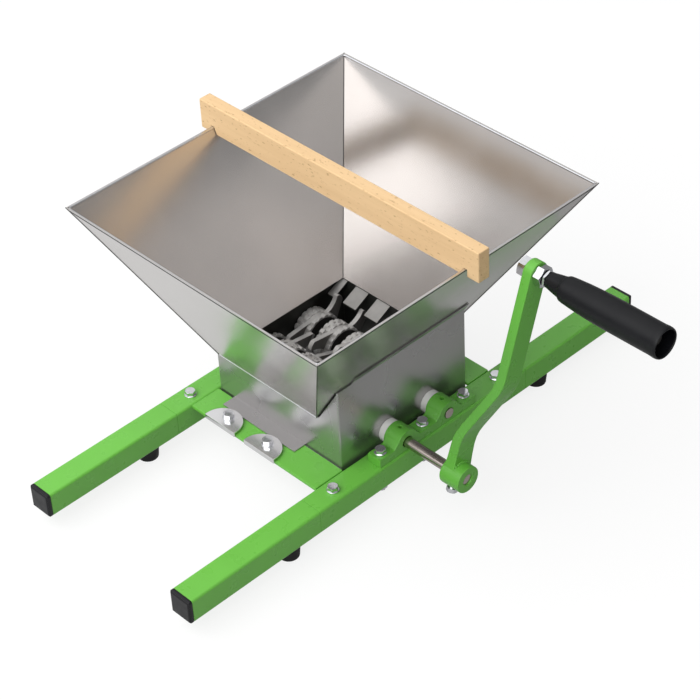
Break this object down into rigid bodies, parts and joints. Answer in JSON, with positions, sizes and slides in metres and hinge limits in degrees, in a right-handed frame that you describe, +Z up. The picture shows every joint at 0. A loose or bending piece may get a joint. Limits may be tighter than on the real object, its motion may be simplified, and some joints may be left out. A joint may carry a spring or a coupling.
{
  "type": "hand cranked fruit crusher",
  "caption": "Hand cranked apple scratter: open sheet steel hopper over toothed rollers on a square tube frame, with a cranked handle and a wooden bar.",
  "frame": {"origin": "middle of the whole object's footprint, on the ground under the rubber feet", "axes": "+X across the rails towards the crank, +Y along the rails towards the rear, +Z up"},
  "size_m": [0.4468, 0.5, 0.2445],
  "materials": {
    "green_frame": "gloss powder coat",
    "green_castings": "gloss powder coat over castings and bar",
    "stainless_sheet": "bright rolled stainless sheet",
    "clamp_steel": "satin sheet steel",
    "zinc_fasteners": "bright zinc plate",
    "machined_steel": "turned steel",
    "roller_steel": "matt grey steel",
    "white_nylon": "white nylon",
    "black_caps": "moulded plastic",
    "black_rubber": "moulded rubber",
    "black_grip": "satin moulded plastic",
    "beech": "planed, unfinished"
  },
  "bodies": {
    "frame": {"rail_left": "green_frame", "rail_right": "green_frame", "cross_plate_front": "green_frame", "cross_plate_rear": "green_frame", "leg_front_left": "green_frame", "leg_front_right": "green_frame", "leg_rear_left": "green_frame", "leg_rear_right": "green_frame", "leg_end_caps": "black_caps", "rubber_feet": "black_rubber", "foot_screws": "zinc_fasteners", "leg_bolts": "zinc_fasteners", "leg_nuts": "zinc_fasteners", "housing_left": "stainless_sheet", "housing_right": "stainless_sheet", "housing_front": "stainless_sheet", "housing_rear": "stainless_sheet", "gear_partition": "stainless_sheet", "hopper_front": "stainless_sheet", "hopper_rear": "stainless_sheet", "hopper_left": "stainless_sheet", "hopper_right": "stainless_sheet", "comb_front": "stainless_sheet", "comb_rear": "stainless_sheet", "lip_clamps": "clamp_steel", "clamp_screws": "zinc_fasteners", "clamp_nuts": "zinc_fasteners", "bearing_block_left": "green_castings", "bearing_block_right": "green_castings", "bearing_bolts": "zinc_fasteners", "bearing_nuts": "zinc_fasteners", "nylon_bushes": "white_nylon"},
    "drive_roller": {"drive_shaft": "machined_steel", "drive_key": "machined_steel", "drive_discs": "roller_steel", "drive_knives": "roller_steel", "drive_spacers": "machined_steel", "drive_gear": "machined_steel", "crank_arm": "green_castings", "crank_set_screw": "zinc_fasteners", "handle_bolt": "zinc_fasteners", "handle_nuts": "zinc_fasteners"},
    "driven_roller": {"driven_shaft": "machined_steel", "driven_key": "machined_steel", "driven_discs": "roller_steel", "driven_knives": "roller_steel", "driven_spacers": "machined_steel", "driven_gear": "machined_steel"},
    "grip": {"grip": "black_grip"},
    "bar": {"wooden_bar": "beech"}
  },
  "joints": [
    {"name": "crank_spin", "type": "hinge", "parent": "frame", "child": "drive_roller", "pos_m": [-0.07137, -0.019, 0.042], "axis": [1, 0, 0], "continuous": true},
    {"name": "driven_spin", "type": "hinge", "parent": "frame", "child": "driven_roller", "pos_m": [-0.07137, 0.0278, 0.042], "axis": [1, 0, 0], "continuous": true},
    {"name": "grip_spin", "type": "hinge", "parent": "drive_roller", "child": "grip", "pos_m": [0.16937, 0.03939, 0.21754], "axis": [1, 0, 0], "continuous": true},
    {"name": "bar_lift", "type": "slide", "parent": "frame", "child": "bar", "axis": [0, 0, 1], "range_m": [0, 0.1]}
  ],
  "couplings": [
    {"joint": "driven_spin", "follows": "crank_spin", "ratio": -1}
  ]
}
